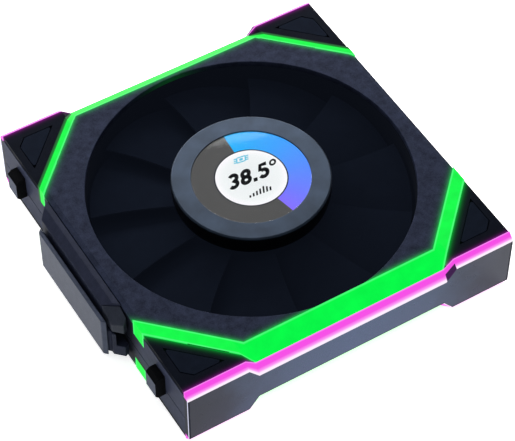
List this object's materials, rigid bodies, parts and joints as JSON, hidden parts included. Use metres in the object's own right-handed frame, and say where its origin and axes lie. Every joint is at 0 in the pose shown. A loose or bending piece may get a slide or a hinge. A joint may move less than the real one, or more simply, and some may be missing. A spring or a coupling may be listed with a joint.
{
  "type": "case fan",
  "caption": "Square computer case fan with lit edges, side mirror panels, a round display over the hub and a clip-on side connector module.",
  "frame": {"origin": "on the fan's axis, in the plane of the rear face", "axes": "+Z out of the front, display side; +X to the right of the upright display, towards the chain sockets; +Y to the top of the display"},
  "size_m": [0.1272, 0.1248, 0.0284],
  "materials": {
    "bearing_bronze": "sintered",
    "bezel_metal": "satin anodised blue grey",
    "blade_plastic": "matt black moulded",
    "cap_plastic": "satin black",
    "carrier_plastic": "moulded",
    "circuit_board": "solder mask",
    "contact_gold": "gold plated",
    "contact_plastic": "moulded",
    "core_steel": "stacked laminations",
    "display_face": "lit display",
    "green_light": "translucent light guide, lit green",
    "housing_plastic": "fine-grained moulded",
    "insulator_plastic": "moulded nylon",
    "latch_plastic": "fine-grained moulded",
    "led_white": "lit",
    "lens_glass": "clear",
    "magenta_light": "translucent light guide, lit magenta",
    "magnet": "bonded ferrite",
    "module_cover_metal": "satin anodised grey",
    "module_plastic": "fine-grained moulded",
    "pad_rubber": "smooth soft pad",
    "plate_plastic": "fine-grained moulded, slightly satin",
    "post_steel": "ground",
    "ribbon_film": "polyimide film",
    "screw_steel": "black zinc",
    "smoked_mirror": "smoked half mirror",
    "winding_copper": "enamelled copper wire",
    "yoke_steel": "drawn"
  },
  "bodies": {
    "frame": {"center_post": "post_steel", "chain_contact_block": "contact_plastic", "chain_contact_pins": "contact_gold", "cover_screws": "screw_steel", "display_bezel": "bezel_metal", "display_board": "circuit_board", "display_carrier": "carrier_plastic", "display_lens": "lens_glass", "display_panel": "display_face", "display_ribbon": "ribbon_film", "display_screws": "screw_steel", "edge_light_guide_bottom": "magenta_light", "edge_light_guide_top": "magenta_light", "frame_housing": "housing_plastic", "front_bottom_left_cap": "cap_plastic", "front_bottom_left_pad": "pad_rubber", "front_bottom_right_cap": "cap_plastic", "front_bottom_right_pad": "pad_rubber", "front_light_guide_bottom": "green_light", "front_light_guide_top": "green_light", "front_plate": "plate_plastic", "front_top_left_cap": "cap_plastic", "front_top_left_pad": "pad_rubber", "front_top_right_cap": "cap_plastic", "front_top_right_pad": "pad_rubber", "led_board_bottom": "circuit_board", "led_board_top": "circuit_board", "led_row_bottom": "led_white", "led_row_top": "led_white", "mirror_panel_bottom": "smoked_mirror", "mirror_panel_top": "smoked_mirror", "module_contact_block": "contact_plastic", "motor_board": "circuit_board", "rear_bottom_left_cap": "cap_plastic", "rear_bottom_left_pad": "pad_rubber", "rear_bottom_right_cap": "cap_plastic", "rear_bottom_right_pad": "pad_rubber", "rear_light_guide_bottom": "green_light", "rear_light_guide_top": "green_light", "rear_plate": "plate_plastic", "rear_top_left_cap": "cap_plastic", "rear_top_left_pad": "pad_rubber", "rear_top_right_cap": "cap_plastic", "rear_top_right_pad": "pad_rubber", "retaining_clip": "post_steel", "stator_core": "core_steel", "stator_insulator": "insulator_plastic", "stator_windings": "winding_copper"},
    "rotor": {"impeller": "blade_plastic", "rotor_yoke": "yoke_steel", "magnet_ring": "magnet", "front_bearing": "bearing_bronze", "rear_bearing": "bearing_bronze"},
    "connector_module": {"module_body": "module_plastic", "module_cover": "module_cover_metal", "module_board": "circuit_board", "module_contact_pins": "contact_gold", "socket_pins": "contact_gold", "latch_spring": "post_steel"},
    "latch": {"release_latch": "latch_plastic"}
  },
  "joints": [
    {"name": "impeller_spin", "type": "hinge", "parent": "frame", "child": "rotor", "pos_m": [0, 0, 0], "axis": [0, 0, 1], "continuous": true},
    {"name": "module_release", "type": "slide", "parent": "frame", "child": "connector_module", "axis": [-1, 0, 0], "range_m": [0, 0.012]},
    {"name": "latch_press", "type": "slide", "parent": "connector_module", "child": "latch", "axis": [0, 0, -1], "range_m": [0, 0.001], "stiffness_N_per_m": 600, "springref_m": -0.001, "deforming": ["latch_spring"]}
  ]
}
